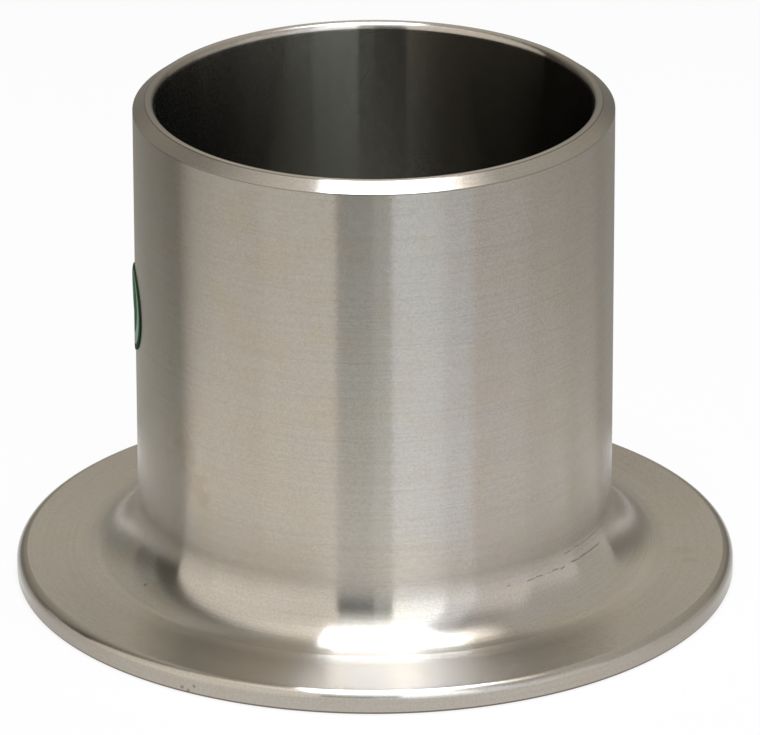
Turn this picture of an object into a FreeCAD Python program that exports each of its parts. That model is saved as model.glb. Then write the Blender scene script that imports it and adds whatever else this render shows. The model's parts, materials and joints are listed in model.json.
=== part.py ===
import FreeCAD, Part
import math
import os

from FreeCAD import Vector

# Lap-joint stub end for a 2 inch, schedule 10S pipe, short pattern, all in millimetres.
# The lap lies on the floor with its gasket face down, and the pipe's axis is +Z.
# Origin: centre of the gasket face.

# Pipe
pipe_od = 60.3
wall = 2.77
overall_length = 63.5

# Lap, the flat collar that the loose flange pulls against the gasket
lap_od = 91.4
lap_thickness = 3.0
back_fillet = 7.65
rim_round = 1.3
rim_edge_break = 0.35
bore_corner = 0.8
least_lap_flat = 0.5

# Weld end, at the top: an outer bevel, a flat root face and a rounded mouth of the bore
bevel_angle = 36.0
root_face = 0.55
mouth_round = 0.65

# Round paper label stuck on the outside of the pipe
label_diameter = 11.0
label_thickness = 0.15
label_below_weld_end = 27.1
label_direction = 184.0

# Sizes that follow from the ones above
pipe_r = pipe_od / 2
bore_r = pipe_r - wall
lap_r = lap_od / 2
fillet_r = min(back_fillet, lap_r - pipe_r - rim_round - least_lap_flat)
bevel_width = wall - mouth_round - root_face
bevel_height = bevel_width * math.tan(math.radians(bevel_angle))


def at(radius, height):
    """A point of the section, in the plane through the axis."""
    return Vector(radius, 0, height)


def line(start, end):
    """A straight edge of the section."""
    return Part.LineSegment(start, end).toShape()


def quarter(centre_r, centre_z, radius, start_deg):
    """A quarter circle of the section, turning anticlockwise from start_deg."""
    points = []
    for turn in (0, 45, 90):
        angle = math.radians(start_deg + turn)
        points.append(at(centre_r + radius * math.cos(angle), centre_z + radius * math.sin(angle)))
    return Part.Arc(*points).toShape()


def lap_edges():
    """The lap's outline, from the bore's corner along the gasket face and back to the pipe's wall."""
    return [
        quarter(bore_r + bore_corner, bore_corner, bore_corner, 180),
        line(at(bore_r + bore_corner, 0), at(lap_r - rim_edge_break, 0)),
        quarter(lap_r - rim_edge_break, rim_edge_break, rim_edge_break, 270),
        line(at(lap_r, rim_edge_break), at(lap_r, lap_thickness - rim_round)),
        quarter(lap_r - rim_round, lap_thickness - rim_round, rim_round, 0),
        line(at(lap_r - rim_round, lap_thickness), at(pipe_r + fillet_r, lap_thickness)),
        quarter(pipe_r + fillet_r, lap_thickness + fillet_r, fillet_r, 180),
    ]


def pipe_edges():
    """The pipe's outline, up its outer wall, over the weld end and down the bore."""
    bevel_foot = at(pipe_r, overall_length - bevel_height)
    root_outer = at(pipe_r - bevel_width, overall_length)
    root_inner = at(bore_r + mouth_round, overall_length)
    mouth_foot = at(bore_r, overall_length - mouth_round)
    return [
        line(at(pipe_r, lap_thickness + fillet_r), bevel_foot),
        line(bevel_foot, root_outer),
        line(root_outer, root_inner),
        quarter(bore_r + mouth_round, overall_length - mouth_round, mouth_round, 90),
        line(mouth_foot, at(bore_r, bore_corner)),
    ]


def stub_end():
    """One forged and turned piece: its section, swept once round the pipe's axis."""
    section = Part.Face(Part.Wire(lap_edges() + pipe_edges()))
    return section.revolve(Vector(0, 0, 0), Vector(0, 0, 1), 360)


def label():
    """A disc of paper that hugs the pipe's wall, so both of its faces follow the wall's curve."""
    outside = Part.makeCylinder(pipe_r + label_thickness, overall_length)
    paper = outside.cut(Part.makeCylinder(pipe_r, overall_length))
    angle = math.radians(label_direction)
    outward = Vector(math.cos(angle), math.sin(angle), 0)
    centre = Vector(0, 0, overall_length - label_below_weld_end)
    punch = Part.makeCylinder(label_diameter / 2, 2 * pipe_r, centre, outward)
    return paper.common(punch).Solids[0]


os.makedirs("parts", exist_ok=True)
for node, shape in {"stub_end": stub_end(), "round_label": label()}.items():
    shape.exportStep(f"parts/{node}.step")
    print(node, shape.ShapeType, shape.isValid(), round(shape.Volume, 2), shape.BoundBox)
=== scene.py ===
import bpy
import json
import math

from mathutils import Matrix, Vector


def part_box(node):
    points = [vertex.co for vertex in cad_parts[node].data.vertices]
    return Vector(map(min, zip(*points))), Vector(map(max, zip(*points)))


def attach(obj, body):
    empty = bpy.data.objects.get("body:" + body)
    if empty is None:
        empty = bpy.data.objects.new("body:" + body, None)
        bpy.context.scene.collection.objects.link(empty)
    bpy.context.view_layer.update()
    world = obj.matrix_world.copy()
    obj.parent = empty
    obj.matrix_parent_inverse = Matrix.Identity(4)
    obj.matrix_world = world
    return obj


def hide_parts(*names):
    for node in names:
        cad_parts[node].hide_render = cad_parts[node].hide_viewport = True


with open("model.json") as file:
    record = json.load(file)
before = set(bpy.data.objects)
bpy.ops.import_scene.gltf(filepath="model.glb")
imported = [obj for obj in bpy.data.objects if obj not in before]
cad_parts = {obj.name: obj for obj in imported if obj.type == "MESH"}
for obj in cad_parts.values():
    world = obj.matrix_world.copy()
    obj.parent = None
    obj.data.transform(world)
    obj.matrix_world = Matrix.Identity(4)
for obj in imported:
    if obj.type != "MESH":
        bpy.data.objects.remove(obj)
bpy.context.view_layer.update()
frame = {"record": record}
scene = bpy.context.scene

# Stub end: one forged piece of stainless steel, turned all over on a lathe.
# It is a short thin pipe with a wide flat lap at the bottom and a weld bevel at the top.
# Its section is drawn once and swept round the axis, as the lathe does it.
mm = 0.001
mounts = {mount["name"]: mount for mount in frame["record"]["mounts"]}
pipe_r = mounts["flange_seat"]["dims"]["r_mm"] * mm
bore_r = mounts["bore"]["dims"]["r_mm"] * mm
lap_thickness = mounts["lap_back"]["pos_m"][2]
lap_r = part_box("stub_end")[1].x
weld_end_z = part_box("stub_end")[1].z
bore_corner = 0.8 * mm
rim_round = 1.3 * mm
rim_edge_break = 0.35 * mm
back_fillet = 7.65 * mm
root_face = 0.55 * mm
mouth_round = 0.65 * mm
mouth_deepening = 1.6
bevel_angle = math.radians(36)
groove_pitch = 0.8 * mm
groove_depth = 0.05 * mm
groove_half_width = 0.42 * groove_pitch
groove_margin = 2.0 * mm
beside_corner = 0.15 * mm
steps_around = 384


def arc_points(centre_r, centre_z, radius, start, turn, steps):
    """Points (radius, height) along a turned corner, from start through turn, in degrees."""
    angles = [math.radians(start + turn * i / steps) for i in range(steps + 1)]
    return [(centre_r + radius * math.cos(a), centre_z + radius * math.sin(a)) for a in angles]


def line_points(start, end, steps):
    """Points between two corners of the section, with one close to each end to keep the corner crisp."""
    near = beside_corner / math.dist(start, end)
    shares = [near] + [i / steps for i in range(1, steps)] + [1 - near]
    return [tuple(a + (b - a) * share for a, b in zip(start, end)) for share in shares]


def gasket_grooves(start_r, end_r):
    """The fine turned grooves in the gasket face, each one cut up into the metal."""
    first = start_r + groove_margin
    count = int((end_r - groove_margin - first) / groove_pitch)
    grooves = []
    for i in range(count):
        middle = first + (i + 0.5) * groove_pitch
        grooves.append((middle - groove_half_width, 0))
        grooves.append((middle, groove_depth))
        grooves.append((middle + groove_half_width, 0))
    return grooves


bevel_width = pipe_r - bore_r - mouth_round - root_face
bevel_height = bevel_width * math.tan(bevel_angle)
bore_foot = arc_points(bore_r + bore_corner, bore_corner, bore_corner, start=180, turn=90, steps=6)
rim_foot = arc_points(lap_r - rim_edge_break, rim_edge_break, rim_edge_break, start=270, turn=90, steps=5)
rim_top = arc_points(lap_r - rim_round, lap_thickness - rim_round, rim_round, start=0, turn=90, steps=12)
fillet_r, fillet_z = pipe_r + back_fillet, lap_thickness + back_fillet
fillet = arc_points(fillet_r, fillet_z, back_fillet, start=270, turn=-90, steps=32)
bevel_foot = (pipe_r, weld_end_z - bevel_height)
bevel_top = (pipe_r - bevel_width, weld_end_z)
# The mouth's edge is broken by hand, so its round reaches further down the bore than across the root face.
even_mouth = arc_points(bore_r + mouth_round, -mouth_round, mouth_round, start=90, turn=90, steps=12)
mouth = [(r, weld_end_z + mouth_deepening * z) for r, z in even_mouth]
section = (
    bore_foot
    + gasket_grooves(bore_foot[-1][0], rim_foot[0][0])
    + rim_foot
    + line_points(rim_foot[-1], rim_top[0], steps=3)
    + rim_top
    + line_points(rim_top[-1], fillet[0], steps=8)
    + fillet
    + line_points(fillet[-1], bevel_foot, steps=20)
    + [bevel_foot]
    + line_points(bevel_foot, bevel_top, steps=3)
    + [bevel_top]
    + line_points(bevel_top, mouth[0], steps=2)
    + mouth
    + line_points(mouth[-1], bore_foot[0], steps=20)
)


def tree_input(tree, name, kind, value=None):
    """Gives a node tree a named input, with a value to start from."""
    socket = tree.interface.new_socket(name, in_out="INPUT", socket_type=kind)
    if value is not None:
        socket.default_value = value


def maths(tree, operation, *values):
    """A Math node. Each value is a number or the socket that feeds it."""
    node = tree.nodes.new("ShaderNodeMath")
    node.operation = operation
    for socket, value in zip(node.inputs, values):
        if isinstance(value, bpy.types.NodeSocket):
            tree.links.new(value, socket)
        else:
            socket.default_value = value
    return node.outputs[0]


seam_reach = 0.001 * mm
bore_reach = 0.02 * mm
underside_reach = 0.1 * mm


def lathe_tree():
    """Sweeps a ring of section points once round the Z axis and closes the seam."""
    tree = bpy.data.node_groups.new("turned_section", "GeometryNodeTree")
    tree_input(tree, "Section", "NodeSocketGeometry")
    tree_input(tree, "Steps Around", "NodeSocketInt", steps_around)
    tree_input(tree, "Bore Radius", "NodeSocketFloat", bore_r)
    tree_input(tree, "Outside Finish", "NodeSocketMaterial")
    tree_input(tree, "Bore Finish", "NodeSocketMaterial")
    tree_input(tree, "Gasket Finish", "NodeSocketMaterial")
    tree.interface.new_socket("Turned", in_out="OUTPUT", socket_type="NodeSocketGeometry")
    nodes, links = tree.nodes, tree.links
    given = nodes.new("NodeGroupInput").outputs

    size = nodes.new("GeometryNodeAttributeDomainSize")
    links.new(given["Section"], size.inputs["Geometry"])
    points = size.outputs["Point Count"]
    columns = maths(tree, "ADD", given["Steps Around"], 1.0)
    grid = nodes.new("GeometryNodeMeshGrid")
    links.new(maths(tree, "ADD", points, 1.0), grid.inputs["Vertices X"])
    links.new(columns, grid.inputs["Vertices Y"])

    index = nodes.new("GeometryNodeInputIndex").outputs[0]
    row = maths(tree, "FLOOR", maths(tree, "DIVIDE", maths(tree, "ADD", index, 0.5), columns))
    column = maths(tree, "SUBTRACT", index, maths(tree, "MULTIPLY", row, columns))
    place = nodes.new("GeometryNodeSampleIndex")
    place.data_type = "FLOAT_VECTOR"
    links.new(given["Section"], place.inputs["Geometry"])
    links.new(nodes.new("GeometryNodeInputPosition").outputs[0], place.inputs["Value"])
    links.new(maths(tree, "MODULO", row, points), place.inputs["Index"])
    on_section = nodes.new("ShaderNodeSeparateXYZ")
    links.new(place.outputs[0], on_section.inputs[0])
    radius = on_section.outputs["X"]
    step = maths(tree, "MODULO", column, given["Steps Around"])
    angle = maths(tree, "MULTIPLY", maths(tree, "DIVIDE", step, given["Steps Around"]), 2 * math.pi)
    turned = nodes.new("ShaderNodeCombineXYZ")
    links.new(maths(tree, "MULTIPLY", radius, maths(tree, "COSINE", angle)), turned.inputs["X"])
    links.new(maths(tree, "MULTIPLY", radius, maths(tree, "SINE", angle)), turned.inputs["Y"])
    links.new(on_section.outputs["Z"], turned.inputs["Z"])

    placed = nodes.new("GeometryNodeSetPosition")
    links.new(grid.outputs["Mesh"], placed.inputs["Geometry"])
    links.new(turned.outputs[0], placed.inputs["Position"])
    closed = nodes.new("GeometryNodeMergeByDistance")
    closed.inputs["Distance"].default_value = seam_reach
    links.new(placed.outputs[0], closed.inputs["Geometry"])
    outward = nodes.new("GeometryNodeFlipFaces")
    links.new(closed.outputs[0], outward.inputs["Mesh"])
    real = nodes.new("GeometryNodeRealizeInstances")
    links.new(outward.outputs[0], real.inputs["Geometry"])

    where = nodes.new("ShaderNodeSeparateXYZ")
    links.new(nodes.new("GeometryNodeInputPosition").outputs[0], where.inputs[0])
    across_squared = maths(tree, "POWER", where.outputs["X"], 2.0)
    along_squared = maths(tree, "POWER", where.outputs["Y"], 2.0)
    out = maths(tree, "SQRT", maths(tree, "ADD", across_squared, along_squared))
    bore_wall = maths(tree, "LESS_THAN", out, maths(tree, "ADD", given["Bore Radius"], bore_reach))
    underside = maths(tree, "LESS_THAN", where.outputs["Z"], underside_reach)
    finishes = (("Outside Finish", None), ("Bore Finish", bore_wall), ("Gasket Finish", underside))
    last = real.outputs[0]
    for finish, chosen in finishes:
        coat = nodes.new("GeometryNodeSetMaterial")
        links.new(last, coat.inputs["Geometry"])
        links.new(given[finish], coat.inputs["Material"])
        if chosen is not None:
            links.new(chosen, coat.inputs["Selection"])
        last = coat.outputs[0]
    links.new(last, nodes.new("NodeGroupOutput").inputs["Turned"])
    return tree


def shader_group(name, inputs, outputs):
    """An empty shader node group with number inputs and outputs, and its two end nodes."""
    tree = bpy.data.node_groups.new(name, "ShaderNodeTree")
    for socket, value in inputs.items():
        tree_input(tree, socket, "NodeSocketFloat", value)
    for socket in outputs:
        tree.interface.new_socket(socket, in_out="OUTPUT", socket_type="NodeSocketFloat")
    given = tree.nodes.new("NodeGroupInput").outputs
    result = tree.nodes.new("NodeGroupOutput").inputs
    return tree, given, result


def use_group(tree, group, **values):
    """Places a group in a tree. Each value is a number or the socket that feeds that input."""
    node = tree.nodes.new("ShaderNodeGroup")
    node.node_tree = group
    for name, value in values.items():
        if isinstance(value, bpy.types.NodeSocket):
            tree.links.new(value, node.inputs[name])
        else:
            node.inputs[name].default_value = value
    return node.outputs


noise_detail = 2.0


def noise(tree, vector, w=None):
    """A noise value from 0 to 1 at a place that is already divided by the size of its grains."""
    node = tree.nodes.new("ShaderNodeTexNoise")
    node.noise_dimensions = "3D" if w is None else "4D"
    node.inputs["Scale"].default_value = 1.0
    node.inputs["Detail"].default_value = noise_detail
    tree.links.new(vector, node.inputs["Vector"])
    if w is not None:
        tree.links.new(w, node.inputs["W"])
    return node.outputs["Fac"]


def place_group():
    """Where a point of the turned piece lies: out and up in millimetres, and round in degrees."""
    tree, _, result = shader_group("place_on_lathe", {}, ("Out", "Up", "Round", "Cos", "Sin"))
    where = tree.nodes.new("ShaderNodeSeparateXYZ")
    tree.links.new(tree.nodes.new("ShaderNodeTexCoord").outputs["Object"], where.inputs[0])
    across, along, up = (where.outputs[axis] for axis in "XYZ")
    across_squared = maths(tree, "MULTIPLY", across, across)
    along_squared = maths(tree, "MULTIPLY", along, along)
    out = maths(tree, "SQRT", maths(tree, "ADD", across_squared, along_squared))
    turn = maths(tree, "MULTIPLY", maths(tree, "ARCTAN2", along, across), 180 / math.pi)
    tree.links.new(maths(tree, "DIVIDE", out, mm), result["Out"])
    tree.links.new(maths(tree, "DIVIDE", up, mm), result["Up"])
    tree.links.new(turn, result["Round"])
    tree.links.new(maths(tree, "DIVIDE", across, out), result["Cos"])
    tree.links.new(maths(tree, "DIVIDE", along, out), result["Sin"])
    return tree


def band_group():
    """One between two values of something, nought outside them, with soft edges."""
    tree, given, result = shader_group("band", {"Value": 0, "From": 0, "To": 1, "Soft": 0.1}, ("Mask",))
    sides = []
    for start, sign in (("From", 1), ("To", -1)):
        inside = maths(tree, "MULTIPLY", maths(tree, "SUBTRACT", given["Value"], given[start]), sign)
        share = tree.nodes.new("ShaderNodeMapRange")
        share.interpolation_type = "SMOOTHSTEP"
        tree.links.new(inside, share.inputs["Value"])
        tree.links.new(maths(tree, "MULTIPLY", given["Soft"], -0.5), share.inputs["From Min"])
        tree.links.new(maths(tree, "MULTIPLY", given["Soft"], 0.5), share.inputs["From Max"])
        sides.append(share.outputs[0])
    tree.links.new(maths(tree, "MULTIPLY", *sides), result["Mask"])
    return tree


open_end = 1000.0


def within(tree, value, start, end, soft):
    """A mask of where a value lies between start and end. A side at open_end has no end."""
    return use_group(tree, band, Value=value, From=start, To=end, Soft=soft)["Mask"]


def lathe_lines_group():
    """Fine lines that the tool leaves all the way round. They fade in and out along the way."""
    tree, given, result = shader_group("lathe_lines", {"Pitch": 0.1, "Run": 2.0}, ("Lines",))
    place = use_group(tree, place_on_lathe)
    grains = tree.nodes.new("ShaderNodeCombineXYZ")
    tree.links.new(maths(tree, "DIVIDE", place["Out"], given["Pitch"]), grains.inputs["X"])
    tree.links.new(maths(tree, "DIVIDE", place["Up"], given["Pitch"]), grains.inputs["Y"])
    tree.links.new(maths(tree, "MULTIPLY", place["Cos"], given["Run"]), grains.inputs["Z"])
    sideways = maths(tree, "MULTIPLY", place["Sin"], given["Run"])
    tree.links.new(noise(tree, grains.outputs[0], sideways), result["Lines"])
    return tree


facet_run = 2500.0


def tool_facets_group():
    """Tilts the surface up and down the section by tool marks too fine to be seen one by one."""
    tree, given, result = shader_group("tool_facets", {"Pitch": 0.05, "Spread": 1.0}, ())
    tree.interface.new_socket("Normal", in_out="OUTPUT", socket_type="NodeSocketVector")
    lines = use_group(tree, lathe_lines, Pitch=given["Pitch"], Run=facet_run)["Lines"]
    tilt = maths(tree, "MULTIPLY", maths(tree, "SUBTRACT", lines, 0.5), given["Spread"])
    round_axis = tree.nodes.new("ShaderNodeTangent")
    round_axis.direction_type = "RADIAL"
    round_axis.axis = "Z"
    facing = tree.nodes.new("ShaderNodeNewGeometry").outputs["Normal"]
    across = tree.nodes.new("ShaderNodeVectorMath")
    across.operation = "CROSS_PRODUCT"
    tree.links.new(round_axis.outputs[0], across.inputs[0])
    tree.links.new(facing, across.inputs[1])
    tilted = tree.nodes.new("ShaderNodeVectorMath")
    tilted.operation = "MULTIPLY_ADD"
    tree.links.new(across.outputs[0], tilted.inputs[0])
    tree.links.new(tilt, tilted.inputs[1])
    tree.links.new(facing, tilted.inputs[2])
    unit = tree.nodes.new("ShaderNodeVectorMath")
    unit.operation = "NORMALIZE"
    tree.links.new(tilted.outputs[0], unit.inputs[0])
    tree.links.new(unit.outputs[0], result["Normal"])
    return tree


def mottle_group():
    """The cloudy grain of a pickled steel skin, as uneven spots of one size in millimetres."""
    tree, given, result = shader_group("mottle", {"Size": 1.0, "Shift": 0.0}, ("Cloud",))
    place = tree.nodes.new("ShaderNodeVectorMath")
    place.operation = "DIVIDE"
    tree.links.new(tree.nodes.new("ShaderNodeTexCoord").outputs["Object"], place.inputs[0])
    tree.links.new(maths(tree, "MULTIPLY", given["Size"], mm), place.inputs[1])
    moved = tree.nodes.new("ShaderNodeVectorMath")
    tree.links.new(place.outputs[0], moved.inputs[0])
    tree.links.new(given["Shift"], moved.inputs[1])
    tree.links.new(noise(tree, moved.outputs[0]), result["Cloud"])
    return tree


scratch_wander, scratch_wander_size = 0.5, 1.6
scratch_end_soft = 1.5
skip_size, skip_shift = 1.1, 7.0
skip_below, skip_soft = 0.46, 0.12


def scratch_group():
    """A thin scratch that runs round the piece at one height, broken where the tool skipped."""
    inputs = {"Height": 0, "From": 0, "To": 1, "Width": 0.1, "Slope": 0}
    tree, given, result = shader_group("scratch", inputs, ("Mask",))
    place = use_group(tree, place_on_lathe)
    along = maths(tree, "SUBTRACT", place["Round"], given["From"])
    middle = maths(tree, "MULTIPLY_ADD", along, given["Slope"], given["Height"])
    uneven = use_group(tree, mottle, Size=scratch_wander_size)["Cloud"]
    wander = maths(tree, "SUBTRACT", uneven, 0.5)
    middle = maths(tree, "MULTIPLY_ADD", wander, scratch_wander, middle)
    aside = maths(tree, "ABSOLUTE", maths(tree, "SUBTRACT", place["Up"], middle))
    line = within(tree, aside, -open_end, given["Width"], given["Width"])
    length = within(tree, place["Round"], given["From"], given["To"], scratch_end_soft)
    skips = use_group(tree, mottle, Size=skip_size, Shift=skip_shift)["Cloud"]
    unbroken = within(tree, skips, skip_below, open_end, skip_soft)
    tree.links.new(maths(tree, "MULTIPLY", maths(tree, "MULTIPLY", line, length), unbroken), result["Mask"])
    return tree


spot_edge, spot_soft = 0.8, 0.5
spot_grain_share = 0.6


def spot_group():
    """A small ragged spot round one point of the surface, in millimetres."""
    inputs = {"X": 0, "Y": 0, "Z": 0, "Size": 0.3, "Ragged": 0.5}
    tree, given, result = shader_group("spot", inputs, ("Mask",))
    where = tree.nodes.new("ShaderNodeSeparateXYZ")
    tree.links.new(tree.nodes.new("ShaderNodeTexCoord").outputs["Object"], where.inputs[0])
    total = 0.0
    for axis in "XYZ":
        away = maths(tree, "SUBTRACT", maths(tree, "DIVIDE", where.outputs[axis], mm), given[axis])
        total = maths(tree, "ADD", maths(tree, "MULTIPLY", away, away), total)
    grain = use_group(tree, mottle, Size=maths(tree, "MULTIPLY", given["Size"], spot_grain_share))["Cloud"]
    uneven = maths(tree, "MULTIPLY", maths(tree, "SUBTRACT", grain, 0.5), given["Ragged"])
    far = maths(tree, "ADD", maths(tree, "DIVIDE", maths(tree, "SQRT", total), given["Size"]), uneven)
    tree.links.new(within(tree, far, -open_end, spot_edge, spot_soft), result["Mask"])
    return tree


def tinted(tree, colour, mask, tint):
    """The colour, multiplied by a tint where the mask is one."""
    mix = tree.nodes.new("ShaderNodeMix")
    mix.data_type = "RGBA"
    mix.blend_type = "MULTIPLY"
    tree.links.new(mask, mix.inputs["Factor"])
    if isinstance(colour, bpy.types.NodeSocket):
        tree.links.new(colour, mix.inputs["A"])
    else:
        mix.inputs["A"].default_value = (*colour, 1)
    mix.inputs["B"].default_value = (*tint, 1)
    return mix.outputs["Result"]


quarter_turn = 0.25


def steel_shader(name, anisotropy):
    """A bare metal material whose shine is drawn out across the lathe lines."""
    material = bpy.data.materials.new(name)
    material.use_nodes = True
    tree = material.node_tree
    shader = tree.nodes["Principled BSDF"]
    shader.inputs["Metallic"].default_value = 1.0
    shader.inputs["Anisotropic"].default_value = anisotropy
    shader.inputs["Anisotropic Rotation"].default_value = quarter_turn
    tangent = tree.nodes.new("ShaderNodeTangent")
    tangent.direction_type = "RADIAL"
    tangent.axis = "Z"
    tree.links.new(tangent.outputs[0], shader.inputs["Tangent"])
    return material, tree, shader


def bumped(tree, shader, height, depth, facets):
    """Feeds a height from 0 to 1 to the shader as bump of this depth, on top of the tool's facets."""
    bump = tree.nodes.new("ShaderNodeBump")
    bump.inputs["Strength"].default_value = 1.0
    bump.inputs["Distance"].default_value = depth
    tree.links.new(height, bump.inputs["Height"])
    tree.links.new(facets["Normal"], bump.inputs["Normal"])
    tree.links.new(bump.outputs[0], shader.inputs["Normal"])


place_on_lathe = place_group()
band = band_group()
mottle = mottle_group()
lathe_lines = lathe_lines_group()
tool_facets = tool_facets_group()
scratch = scratch_group()
spot = spot_group()

# The outside's colour and gloss, its tool lines, its grain and its clouds
steel_colour = (0.455, 0.415, 0.364)
steel_roughness = 0.21
steel_spread = 1.45
facet_pitch = 0.006
line_depth = 0.0012 * mm
line_pitch, line_run = 0.12, 1.5
line_from, line_soft, line_tint = 0.55, 0.2, (0.95, 0.95, 0.95)
wide_line_pitch, wide_line_run, wide_line_share = 0.9, 0.8, 1.5
feed_pitch, feed_run, feed_share = 0.3, 1.0, 5.0
grain_size = 0.26
grain_from, grain_soft, grain_tint = 0.5, 0.25, (0.93, 0.93, 0.93)
grain_roughness = 0.010
cloud_size, cloud_shift = 6.0, 3.0
cloud_from, cloud_soft, cloud_tint = 0.55, 0.2, (1.0, 0.985, 0.95)

# Where the parts of the section lie in millimetres, out from the axis or up from the gasket face:
# from, to, and how soft the edge is. The fillet is what is off the lap and off the wall.
lap_top = lap_thickness / mm
fillet_top = (lap_thickness + back_fillet) / mm
rim_r = (lap_r - rim_round) / mm
bevel_z = (weld_end_z - bevel_height) / mm
root_r = (pipe_r - bevel_width) / mm
regions = {
    "off_lap": ("Up", lap_top + 0.2, open_end, 0.8),
    "off_wall": ("Up", -open_end, fillet_top - 2.4, 3.6),
    "lap": ("Up", lap_top - 0.03, lap_top + 0.3, 0.02),
    "rim": ("Out", rim_r, open_end, 0.2),
    "bevel": ("Up", bevel_z, open_end, 0.02),
    "root": ("Out", -open_end, root_r, 0.1),
    # The next three hold painted dark lines of shade along edges
    "painted_bevel_foot_line": ("Up", bevel_z - 0.16, bevel_z - 0.02, 0.08),
    "painted_root_edge_line": ("Out", root_r - 0.04, root_r + 0.12, 0.1),
    "foot": ("Up", -open_end, rim_edge_break / mm, 0.1),
}

# How much rougher than the wall each part is, and how much further its facets tilt
gloss = {
    "fillet": (-0.045, -1.08),
    "lap": (0.06, 0.85),
    "rim": (-0.04, -1.1),
    "bevel": (0.02, -0.7),
    "root": (-0.04, -0.3),
}
# Painted shade: dark lines along the foot of the weld bevel and the outer edge of the root face, where the
# small edges show dark, and along the foot of the rim, where the stub end stands on the table
edge_tints = {
    "painted_bevel_foot_line": (0.7, 0.68, 0.64),
    "painted_root_edge_line": (0.60, 0.58, 0.54),
    "foot": (0.4, 0.37, 0.33),
}
# Painted shade on the bevel, the rim and the root face, darker towards the left and right sides as seen
# from the camera
side_narrowing = 4.0
side_edge_tint = (0.54, 0.52, 0.49)
side_root_tint = (0.66, 0.66, 0.66)

# Wear: three scratches that run round the fillet, nicks on the rim and the lap, and brown marks
scratches = [
    {"Height": 8.3, "From": -57, "To": -44, "Width": 0.05, "Slope": -0.006},
    {"Height": 8.2, "From": -43, "To": -22, "Width": 0.09, "Slope": -0.008},
    {"Height": 9.6, "From": -38, "To": -18, "Width": 0.05, "Slope": 0.0},
]
nicks = [(-23.58, -39.14, 0.75, 0.30), (-22.83, -39.59, 0.45, 0.28), (-22.07, -40.02, 1.25, 0.26)]
nicks += [(-31.59, 2.65, 6.01, 0.25), (-28.81, -16.70, 4.46, 0.25)]
nick_raggedness = 1.2
wear_tint = (0.6, 0.57, 0.5)
wear_share = 12.0
brown_marks = [(-23.4, -19.0, 23.5, 2.6), (-22.4, -20.1, 20.6, 2.4), (-21.3, -21.3, 18.4, 1.6)]
brown_marks += [(40.05, -5.70, 3.0, 1.2), (39.0, -2.6, 3.0, 1.5)]
brown_raggedness = 1.4
brown_strength = 0.3
brown_tint = (0.86, 0.76, 0.62)


def spots(tree, marks, ragged):
    """A mask of several ragged spots, each given by its place and its size."""
    mask = 0.0
    for x, y, z, size in marks:
        mark = use_group(tree, spot, X=x, Y=y, Z=z, Size=size, Ragged=ragged)["Mask"]
        mask = maths(tree, "MAXIMUM", mask, mark)
    return mask


def outside_finish():
    """Wall, fillet, lap and bevel. Each was cut with its own feed, so each has its own gloss."""
    material, tree, shader = steel_shader("turned_outside", anisotropy=1.0)
    place = use_group(tree, place_on_lathe)
    lines = use_group(tree, lathe_lines, Pitch=line_pitch, Run=line_run)["Lines"]
    wide_lines = use_group(tree, lathe_lines, Pitch=wide_line_pitch, Run=wide_line_run)["Lines"]
    feed = use_group(tree, lathe_lines, Pitch=feed_pitch, Run=feed_run)["Lines"]
    grain = use_group(tree, mottle, Size=grain_size)["Cloud"]
    cloud = use_group(tree, mottle, Size=cloud_size, Shift=cloud_shift)["Cloud"]

    on = {region: within(tree, place[way], *reach) for region, (way, *reach) in regions.items()}
    on["fillet"] = maths(tree, "MULTIPLY", on["off_lap"], on["off_wall"])
    roughness, spread = steel_roughness, steel_spread
    for region, (rougher, wider) in gloss.items():
        roughness = maths(tree, "MULTIPLY_ADD", on[region], rougher, roughness)
        spread = maths(tree, "MULTIPLY_ADD", on[region], wider, spread)
    uneven = maths(tree, "SUBTRACT", grain, 0.5)
    roughness = maths(tree, "MULTIPLY_ADD", uneven, grain_roughness, roughness)
    tree.links.new(roughness, shader.inputs["Roughness"])

    colour = tinted(tree, steel_colour, within(tree, grain, grain_from, open_end, grain_soft), grain_tint)
    colour = tinted(tree, colour, within(tree, lines, line_from, open_end, line_soft), line_tint)
    colour = tinted(tree, colour, within(tree, cloud, cloud_from, open_end, cloud_soft), cloud_tint)
    wear = spots(tree, nicks, nick_raggedness)
    for mark in scratches:
        wear = maths(tree, "MAXIMUM", wear, use_group(tree, scratch, **mark)["Mask"])
    colour = tinted(tree, colour, wear, wear_tint)
    brown = maths(tree, "MULTIPLY", spots(tree, brown_marks, brown_raggedness), brown_strength)
    colour = tinted(tree, colour, brown, brown_tint)
    # Painted shade: the dark edge lines
    for edge, tint in edge_tints.items():
        colour = tinted(tree, colour, on[edge], tint)
    # Painted shade: the bevel, the rim and the root face darker towards the left and right sides
    beside = maths(tree, "POWER", maths(tree, "ABSOLUTE", place["Cos"]), side_narrowing)
    bevel_or_rim = maths(tree, "MAXIMUM", on["bevel"], on["rim"])
    colour = tinted(tree, colour, maths(tree, "MULTIPLY", bevel_or_rim, beside), side_edge_tint)
    colour = tinted(tree, colour, maths(tree, "MULTIPLY", on["root"], beside), side_root_tint)
    tree.links.new(colour, shader.inputs["Base Color"])

    height = maths(tree, "MULTIPLY_ADD", wide_lines, wide_line_share, lines)
    height = maths(tree, "MULTIPLY_ADD", maths(tree, "MULTIPLY", feed, on["fillet"]), feed_share, height)
    height = maths(tree, "SUBTRACT", height, maths(tree, "MULTIPLY", wear, wear_share))
    facets = use_group(tree, tool_facets, Pitch=facet_pitch, Spread=spread)
    bumped(tree, shader, height, line_depth, facets)
    return material


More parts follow.
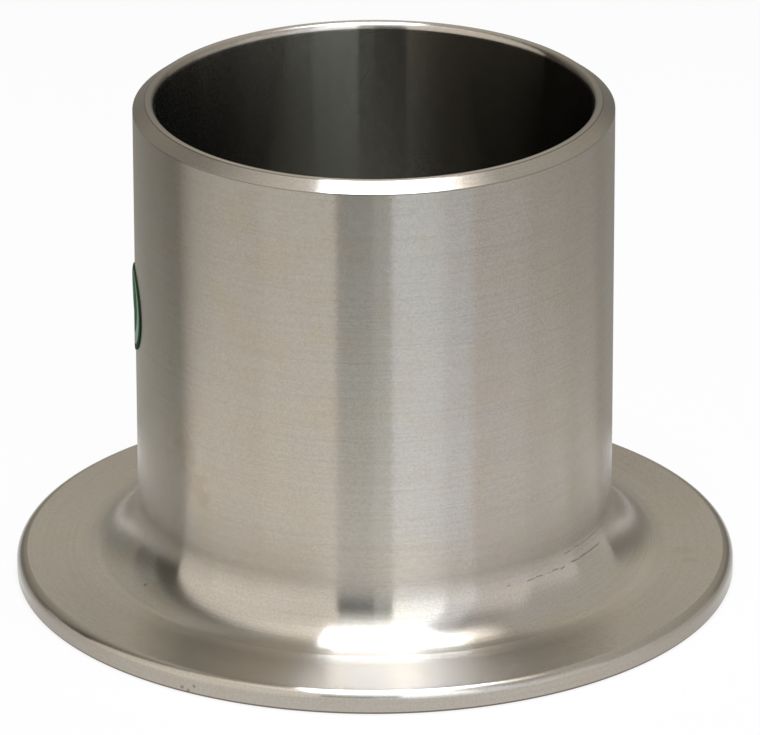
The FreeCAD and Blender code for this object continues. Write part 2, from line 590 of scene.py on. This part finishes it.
# The bore's colour, much darker than the outside, with painted shade that makes it darker still on the side
# towards the camera's right and a little darker on the left
bore_colour = (0.215, 0.205, 0.165)
bore_metallic = 0.90
bore_roughness, bore_grain_roughness = 0.14, 0.03
bore_spread = 2.6
bore_line_pitch, bore_line_run = 0.16, 1.2
inner_grain_size = 0.4
inner_grain_from, inner_grain_soft = 0.5, 0.3
bore_grain_tint = (0.82, 0.82, 0.82)
dark_from, dark_to, dark_soft, dark_tint = -120.0, 80.0, 24.0, (0.34, 0.315, 0.29)
other_from, other_to, other_soft, other_tint = 118.0, 220.0, 30.0, (0.70, 0.70, 0.72)


def bore_finish():
    """The bore, much darker than the outside, with painted shade on its right and left sides. Only light
    tool lines run round it.
    """
    material, tree, shader = steel_shader("dull_bore", anisotropy=1.0)
    shader.inputs["Metallic"].default_value = bore_metallic
    lines = use_group(tree, lathe_lines, Pitch=bore_line_pitch, Run=bore_line_run)["Lines"]
    grain = use_group(tree, mottle, Size=inner_grain_size)["Cloud"]
    specks = within(tree, grain, inner_grain_from, open_end, inner_grain_soft)
    around = use_group(tree, place_on_lathe)["Round"]
    colour = tinted(tree, bore_colour, specks, bore_grain_tint)
    # Painted shade: darker on the side towards the camera's right, less dark on the left, leaving a paler
    # band at the back
    colour = tinted(tree, colour, within(tree, around, dark_from, dark_to, dark_soft), dark_tint)
    colour = tinted(tree, colour, within(tree, around, other_from, other_to, other_soft), other_tint)
    tree.links.new(colour, shader.inputs["Base Color"])
    uneven = maths(tree, "SUBTRACT", grain, 0.5)
    roughness = maths(tree, "MULTIPLY_ADD", uneven, bore_grain_roughness, bore_roughness)
    tree.links.new(roughness, shader.inputs["Roughness"])
    facets = use_group(tree, tool_facets, Pitch=facet_pitch, Spread=bore_spread)
    bumped(tree, shader, maths(tree, "ADD", lines, grain), line_depth, facets)
    return material


# The gasket face, where the grooves are darker than their crests
gasket_colour = (0.40, 0.385, 0.36)
gasket_line_pitch, gasket_line_run = 0.2, 1.5
gasket_roughness, gasket_line_roughness = 0.3, 0.1
gasket_spread = 1.0
gasket_grain_tint = (0.9, 0.9, 0.9)
groove_from, groove_soft, groove_tint = 0.01, 0.02, (0.78, 0.77, 0.75)


def gasket_finish():
    """The gasket face: turned grooves, brighter on their crests."""
    material, tree, shader = steel_shader("grooved_gasket_face", anisotropy=0.9)
    place = use_group(tree, place_on_lathe)
    lines = use_group(tree, lathe_lines, Pitch=gasket_line_pitch, Run=gasket_line_run)["Lines"]
    grain = use_group(tree, mottle, Size=inner_grain_size)["Cloud"]
    specks = within(tree, grain, inner_grain_from, open_end, inner_grain_soft)
    in_groove = within(tree, place["Up"], groove_from, open_end, groove_soft)
    colour = tinted(tree, gasket_colour, in_groove, groove_tint)
    colour = tinted(tree, colour, specks, gasket_grain_tint)
    tree.links.new(colour, shader.inputs["Base Color"])
    roughness = maths(tree, "MULTIPLY_ADD", lines, gasket_line_roughness, gasket_roughness)
    tree.links.new(roughness, shader.inputs["Roughness"])
    facets = use_group(tree, tool_facets, Pitch=facet_pitch, Spread=gasket_spread)
    bumped(tree, shader, lines, line_depth, facets)
    return material


# The section's outline goes into the lathe, and comes out of it as a plain mesh with crisp corners
crisp_corner = math.radians(24)
outline = bpy.data.meshes.new("section_outline")
outline.from_pydata([(r, 0, z) for r, z in section], [], [])
blank = bpy.data.objects.new("section_outline", outline)
scene.collection.objects.link(blank)
lathe = blank.modifiers.new("turned_section", "NODES")
lathe.node_group = lathe_tree()
lathe_settings = {
    "Steps Around": steps_around,
    "Bore Radius": bore_r,
    "Outside Finish": outside_finish(),
    "Bore Finish": bore_finish(),
    "Gasket Finish": gasket_finish(),
}
for socket in lathe.node_group.interface.items_tree:
    if socket.name in lathe_settings:
        lathe[socket.identifier] = lathe_settings[socket.name]
bpy.context.view_layer.update()
turned = bpy.data.meshes.new_from_object(blank.evaluated_get(bpy.context.evaluated_depsgraph_get()))
bpy.data.objects.remove(blank)
turned.shade_smooth()
turned.set_sharp_from_angle(angle=crisp_corner)
stub_end = bpy.data.objects.new("stub_end_turned", turned)
scene.collection.objects.link(stub_end)
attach(stub_end, "root")
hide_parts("stub_end")

# Round label: a disc of printed paper with glue on its back, stuck on the pipe by hand.
# It follows the curve of the pipe's wall, and its upper edge on the far side has come loose a little.
label_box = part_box("round_label")
label_r = (label_box[1].z - label_box[0].z) / 2
label_z = (label_box[1].z + label_box[0].z) / 2
label_direction = math.radians(184)
label_thickness = 0.15 * mm
label_lift = 0.5 * mm
loose_across, loose_up = -0.99, 0.14
loose_from = 0.6
label_rings = 16
label_spokes = 96
paper_corner = math.radians(50)


def label_rise(across, up):
    """How far the paper stands off the wall. It grows towards the edge that came loose."""
    towards_loose_edge = (loose_across * across + loose_up * up) / label_r
    return label_lift * max(0.0, towards_loose_edge - loose_from) / (1 - loose_from)


def label_point(ring, spoke, depth):
    """A point of the label's face or back, wrapped on the pipe's wall, and its place in the flat print."""
    turn = 2 * math.pi * spoke / label_spokes
    across = label_r * ring / label_rings * math.cos(turn)
    up = label_r * ring / label_rings * math.sin(turn)
    radius = pipe_r + label_rise(across, up) + label_thickness - depth
    angle = label_direction + across / pipe_r
    place = (radius * math.cos(angle), radius * math.sin(angle), label_z + up)
    return place, (0.5 + 0.5 * across / label_r, 0.5 + 0.5 * up / label_r)


def label_mesh():
    """The face, the back and the cut edge of the paper, as one closed shell."""
    places, prints, faces = [], [], []
    for depth in (0.0, label_thickness):
        centre = len(places)
        rows = [(0, 0)]
        for ring in range(1, label_rings + 1):
            rows += [(ring, spoke) for spoke in range(label_spokes)]
        for ring, spoke in rows:
            place, flat = label_point(ring, spoke, depth)
            places.append(place)
            prints.append(flat)
        for spoke in range(label_spokes):
            beside = (spoke + 1) % label_spokes
            side = [(centre, centre + 1 + spoke, centre + 1 + beside)]
            for ring in range(label_rings - 1):
                inner = centre + 1 + ring * label_spokes
                outer = inner + label_spokes
                side.append((inner + spoke, outer + spoke, outer + beside, inner + beside))
            faces += side if depth == 0.0 else [face[::-1] for face in side]
    edge = 1 + (label_rings - 1) * label_spokes
    back = 1 + label_rings * label_spokes
    for spoke in range(label_spokes):
        beside = (spoke + 1) % label_spokes
        faces.append((edge + spoke, back + edge + spoke, back + edge + beside, edge + beside))
    mesh = bpy.data.meshes.new("round_label_paper")
    mesh.from_pydata(places, [], faces)
    flat_print = mesh.uv_layers.new(name="print")
    for loop in mesh.loops:
        flat_print.data[loop.index].uv = prints[loop.vertex_index]
    mesh.shade_smooth()
    mesh.set_sharp_from_angle(angle=paper_corner)
    return mesh


# The print, measured from the middle of the paper with the paper's radius as one
paper_colour = (0.44, 0.53, 0.43)
ring_colour = (0.006, 0.045, 0.016)
field_colour = (0.008, 0.120, 0.040)
ring_from = 0.87
field_across, field_up, field_r = -0.05, 0.12, 0.72
print_soft = 0.04
fibre_size, fibre_tint = 0.2, (0.85, 0.85, 0.83)
fibre_depth = 0.01 * mm


def printed_paper():
    """Pale paper with a plain dark green ring near its edge and a plain green field."""
    material = bpy.data.materials.new("printed_label")
    material.use_nodes = True
    tree = material.node_tree
    flat = tree.nodes.new("ShaderNodeUVMap")
    flat.uv_map = "print"
    where = tree.nodes.new("ShaderNodeSeparateXYZ")
    tree.links.new(flat.outputs[0], where.inputs[0])
    across = maths(tree, "MULTIPLY_ADD", where.outputs["X"], 2.0, -1.0)
    up = maths(tree, "MULTIPLY_ADD", where.outputs["Y"], 2.0, -1.0)

    def away_from(middle_across, middle_up):
        """How far a place of the print is from a point of it."""
        squares = 0.0
        for value, middle in ((across, middle_across), (up, middle_up)):
            offset = maths(tree, "SUBTRACT", value, middle)
            squares = maths(tree, "MULTIPLY_ADD", offset, offset, squares)
        return maths(tree, "SQRT", squares)

    ring = within(tree, away_from(0, 0), ring_from, open_end, print_soft)
    field = within(tree, away_from(field_across, field_up), -open_end, field_r, print_soft)
    fibres = use_group(tree, mottle, Size=fibre_size)["Cloud"]
    colour = tinted(tree, paper_colour, fibres, fibre_tint)
    for mask, ink in ((ring, ring_colour), (field, field_colour)):
        colour = tinted(tree, colour, mask, tuple(i / p for i, p in zip(ink, paper_colour)))
    shader = tree.nodes["Principled BSDF"]
    tree.links.new(colour, shader.inputs["Base Color"])
    shader.inputs["Roughness"].default_value = 0.6
    shader.inputs["Specular IOR Level"].default_value = 0.12
    bump = tree.nodes.new("ShaderNodeBump")
    bump.inputs["Distance"].default_value = fibre_depth
    tree.links.new(fibres, bump.inputs["Height"])
    tree.links.new(bump.outputs[0], shader.inputs["Normal"])
    return material


label = bpy.data.objects.new("round_label_paper", label_mesh())
label.data.materials.append(printed_paper())
scene.collection.objects.link(label)
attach(label, "root")
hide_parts("round_label")

# Table: a wide sheet of white board. It shows white to the camera and in the metal,
# and part of its light is real, so that the stub end's soft shadow stays on it.
table_half = 3.0
table_glow = 0.86
board_colour = (0.98, 0.90, 0.79, 1)


def seen_directly(tree):
    """One for rays from the camera, and for what metal or glass shows of the background."""
    path = tree.nodes.new("ShaderNodeLightPath").outputs
    direct = maths(tree, "MAXIMUM", path["Is Camera Ray"], path["Is Glossy Ray"])
    return maths(tree, "MAXIMUM", direct, path["Is Transmission Ray"])


def board_material():
    """Matt white board. Outside the pipe it also glows for the camera and for what metal shows of it."""
    material = bpy.data.materials.new("white_board")
    material.use_nodes = True
    material.cycles.emission_sampling = "NONE"
    tree = material.node_tree
    board = tree.nodes["Principled BSDF"]
    board.inputs["Base Color"].default_value = board_colour
    board.inputs["Roughness"].default_value = 0.9
    board.inputs["Specular IOR Level"].default_value = 0.0
    glow = tree.nodes.new("ShaderNodeEmission")
    blend = tree.nodes.new("ShaderNodeMixShader")
    where = tree.nodes.new("ShaderNodeVectorMath")
    where.operation = "LENGTH"
    tree.links.new(tree.nodes.new("ShaderNodeTexCoord").outputs["Object"], where.inputs[0])
    outside_pipe = maths(tree, "GREATER_THAN", where.outputs["Value"], pipe_r)
    glowing = maths(tree, "MULTIPLY", outside_pipe, table_glow)
    tree.links.new(maths(tree, "MULTIPLY", seen_directly(tree), glowing), blend.inputs[0])
    tree.links.new(board.outputs[0], blend.inputs[1])
    tree.links.new(glow.outputs[0], blend.inputs[2])
    tree.links.new(blend.outputs[0], tree.nodes["Material Output"].inputs["Surface"])
    return material


floor_mesh = bpy.data.meshes.new("table")
table_corners = [(-table_half, -table_half, 0), (table_half, -table_half, 0)]
table_corners += [(table_half, table_half, 0), (-table_half, table_half, 0)]
floor_mesh.from_pydata(table_corners, [], [(0, 1, 2, 3)])
floor_mesh.materials.append(board_material())
floor = bpy.data.objects.new("table", floor_mesh)
scene.collection.objects.link(floor)

# Cards: curved panels that stand round the table and show only in the metal.
# They make the long upright bands of light and dark on the pipe, and its fillet and lap show them too.
card_distance = 1.2
card_base = 0.004
card_foot = 3 * card_base
card_rises = 12
card_column = 3
skirt_top = 2 * card_base
skirt_inner_r = 0.050
skirt_fade_r = 0.20
middle_from, middle_to = 0.19, 0.42

# A row holds a card's name, the directions that it stands between in degrees to the right of the camera,
# its tint, how bright it is (on the table close by and far off, low, middle and overhead), and the rises
# in degrees between which the middle turns into the overhead.
cards = [
    ("card_back_left", -184, -160, (1.0, 0.97, 0.88), (0.53, 0.30, 0.38, 0.81, 0.30), (55, 74)),
    ("card_side_left", -160, -134, (1.0, 0.98, 0.90), (0.56, 0.30, 0.36, 0.61, 0.45), (55, 74)),
    ("flag_left_outer", -134, -118, (1.0, 1.01, 0.94), (0.56, 0.28, 0.22, 0.44, 0.45), (55, 74)),
    ("flag_left", -118, -101, (1.0, 0.99, 0.92), (0.55, 0.24, 0.12, 0.16, 0.40), (55, 74)),
    ("card_warm_outer", -101, -80, (1.0, 0.98, 0.94), (1.26, 0.40, 1.16, 1.18, 1.40), (50, 70)),
    ("card_warm", -80, -54, (1.0, 0.98, 0.94), (1.25, 0.46, 1.29, 1.22, 1.60), (50, 70)),
    ("card_warm_inner", -54, -17.3, (1.0, 0.99, 0.96), (1.30, 0.54, 1.35, 1.18, 1.80), (50, 70)),
    ("flag_front_left", -17.3, -8, (0.98, 1.03, 1.03), (1.20, 0.22, 0.20, 0.05, 2.00), (28, 58)),
    ("flag_front", -8, 0, (0.98, 1.03, 1.03), (1.20, 0.22, 0.26, 0.05, 2.00), (28, 58)),
    ("flag_front_edge", 0, 8.8, (0.98, 1.03, 1.04), (1.25, 0.26, 0.80, 0.40, 2.20), (30, 58)),
    ("card_cool", 8.8, 34, (0.98, 1.05, 1.12), (1.40, 0.46, 1.78, 2.40, 2.00), (50, 70)),
    ("card_cool_outer", 34, 48, (0.985, 1.04, 1.13), (1.30, 0.44, 1.56, 1.30, 1.00), (46, 64)),
    ("card_right_front", 48, 78, (1.0, 1.0, 1.02), (1.16, 0.42, 1.14, 1.08, 0.50), (34, 50)),
    ("card_right", 78, 106, (1.0, 0.995, 0.98), (1.08, 0.36, 1.05, 0.72, 3.30), (63, 72)),
    ("card_right_back", 106, 134, (1.0, 0.985, 0.95), (0.90, 0.38, 0.72, 0.72, 3.30), (63, 72)),
    ("flag_right", 134, 158, (1.0, 0.98, 0.90), (0.55, 0.36, 0.32, 0.73, 0.60), (55, 74)),
    ("card_back_right", 158, 184, (1.0, 0.96, 0.87), (0.47, 0.30, 0.34, 0.82, 0.35), (55, 74)),
]


def card_material(name, tint, levels, overhead):
    """A plain glow with levels for the table close by and far off, and for low, middle and overhead."""
    near, on_table, low, middle, high = levels
    overhead_from, overhead_to = (math.sin(math.radians(rise)) for rise in overhead)
    material = bpy.data.materials.new(name)
    material.use_nodes = True
    material.cycles.emission_sampling = "NONE"
    tree = material.node_tree
    tree.nodes.remove(tree.nodes["Principled BSDF"])
    spot_on_card = tree.nodes.new("ShaderNodeTexCoord").outputs["Object"]
    where = tree.nodes.new("ShaderNodeSeparateXYZ")
    tree.links.new(spot_on_card, where.inputs[0])
    away = tree.nodes.new("ShaderNodeVectorMath")
    away.operation = "LENGTH"
    tree.links.new(spot_on_card, away.inputs[0])
    rise = maths(tree, "DIVIDE", where.outputs["Z"], card_distance)

    def stepped(level, value, change, start, end):
        """A level that changes while a value goes from start to end."""
        step = tree.nodes.new("ShaderNodeMapRange")
        step.inputs["From Min"].default_value = start
        step.inputs["From Max"].default_value = end
        tree.links.new(value, step.inputs["Value"])
        return maths(tree, "MULTIPLY_ADD", step.outputs[0], change, level)

    standing = stepped(low, rise, middle - low, middle_from, middle_to)
    standing = stepped(standing, rise, high - middle, overhead_from, overhead_to)
    lying = stepped(near, away.outputs["Value"], on_table - near, skirt_inner_r, skirt_fade_r)
    skirt = maths(tree, "LESS_THAN", where.outputs["Z"], skirt_top)
    strength = maths(tree, "MULTIPLY_ADD", skirt, maths(tree, "SUBTRACT", lying, standing), standing)
    glow = tree.nodes.new("ShaderNodeEmission")
    glow.inputs["Color"].default_value = (*tint, 1)
    tree.links.new(strength, glow.inputs["Strength"])
    tree.links.new(glow.outputs[0], tree.nodes["Material Output"].inputs["Surface"])
    return material


def shown_turn(turn, radius):
    """The direction, from the axis, of the point at a radius that the pipe's wall shows at a turn."""
    return turn - math.asin(pipe_r * math.sin(turn / 2) / max(radius, pipe_r))


def card_mesh(name, start, end, tint, levels, overhead):
    """A curved panel between two directions, from a low skirt on the table up to the point overhead."""
    profile = [(skirt_inner_r, card_base), (card_distance, card_base)]
    for i in range(card_rises + 1):
        rise = math.radians(90 * i / card_rises)
        profile.append((card_distance * math.cos(rise), card_foot + card_distance * math.sin(rise)))
    columns = max(2, round((end - start) / card_column))
    places = []
    for i in range(columns + 1):
        turn = math.radians(start + (end - start) * i / columns)
        for radius, z in profile:
            shown = shown_turn(turn, radius)
            places.append((radius * math.sin(shown), -radius * math.cos(shown), z))
    rows = len(profile)
    faces = []
    for i in range(columns):
        for j in range(rows - 1):
            corner = i * rows + j
            faces.append((corner, corner + 1, corner + rows + 1, corner + rows))
    mesh = bpy.data.meshes.new(name)
    mesh.from_pydata(places, [], faces)
    mesh.materials.append(card_material(name, tint, levels, overhead))
    return mesh


for name, *panel in cards:
    card = bpy.data.objects.new(name, card_mesh(name, *panel))
    scene.collection.objects.link(card)
    card.visible_camera = False
    card.visible_diffuse = False
    card.visible_transmission = False
    card.visible_volume_scatter = False
    card.visible_shadow = False

# Softbox: one wide soft lamp over the table, a little to the right and towards the camera.
# It whitens the weld bevel, the turn of the fillet and the rim, and throws the soft shadow.
softbox_height = 0.8
softbox_left, softbox_right = -0.21 * softbox_height, 0.27 * softbox_height
softbox_front, softbox_back = -0.42 * softbox_height, 0.22 * softbox_height
softbox_turn = math.radians(-8)
softbox_radiance = 10.0
softbox_colour = (0.89, 1.0, 1.18)
softbox = bpy.data.objects.new("softbox", bpy.data.lights.new("softbox", "AREA"))
softbox.data.shape = "RECTANGLE"
softbox.data.size = softbox_right - softbox_left
softbox.data.size_y = softbox_back - softbox_front
softbox.data.energy = softbox_radiance * math.pi * softbox.data.size * softbox.data.size_y
softbox.location = ((softbox_left + softbox_right) / 2, (softbox_front + softbox_back) / 2, softbox_height)
softbox.data.color = softbox_colour
softbox.rotation_euler.z = softbox_turn
softbox.visible_camera = False
scene.collection.objects.link(softbox)

# Room: plain white behind everything, and a plain soft light from all round for what is matt.
room_light = (0.15, 0.15, 0.15, 1)
world = bpy.data.worlds.new("room")
world.use_nodes = True
world.cycles.sampling_method = "NONE"
room = world.node_tree
soft = room.nodes["Background"]
soft.inputs["Color"].default_value = room_light
backdrop = room.nodes.new("ShaderNodeBackground")
backdrop.inputs["Color"].default_value = (1, 1, 1, 1)
either = room.nodes.new("ShaderNodeMixShader")
room.links.new(seen_directly(room), either.inputs[0])
room.links.new(soft.outputs[0], either.inputs[1])
room.links.new(backdrop.outputs[0], either.inputs[2])
room.links.new(either.outputs[0], room.nodes["World Output"].inputs["Surface"])
scene.world = world

# Camera: where the photograph was taken from, with its focal length in pixels of the photograph.
camera = bpy.data.objects.new("camera", bpy.data.cameras.new("camera"))
scene.collection.objects.link(camera)
camera_distance = 993.36 * mm
camera_elevation = math.radians(22.394)
camera_side = 6.109 * mm
look_height = 30.005 * mm
camera_pitch = math.radians(22.547)
camera_yaw = math.radians(-0.338)
camera_roll = math.radians(-0.138)
photo_width, focal_pixels = 760, 7857.2
sensor_width = 36
camera_back = camera_distance * math.cos(camera_elevation)
camera_up = camera_distance * math.sin(camera_elevation) + look_height
camera.matrix_world = (
    Matrix.Translation((camera_side, -camera_back, camera_up))
    @ Matrix.Rotation(-camera_yaw, 4, "Z")
    @ Matrix.Rotation(math.pi / 2 - camera_pitch, 4, "X")
    @ Matrix.Rotation(camera_roll, 4, "Z")
)
camera.data.sensor_width = sensor_width
camera.data.lens = focal_pixels / photo_width * sensor_width
camera.data.clip_start = 0.1
camera.data.clip_end = 20
scene.camera = camera
scene.view_settings.view_transform = "Standard"
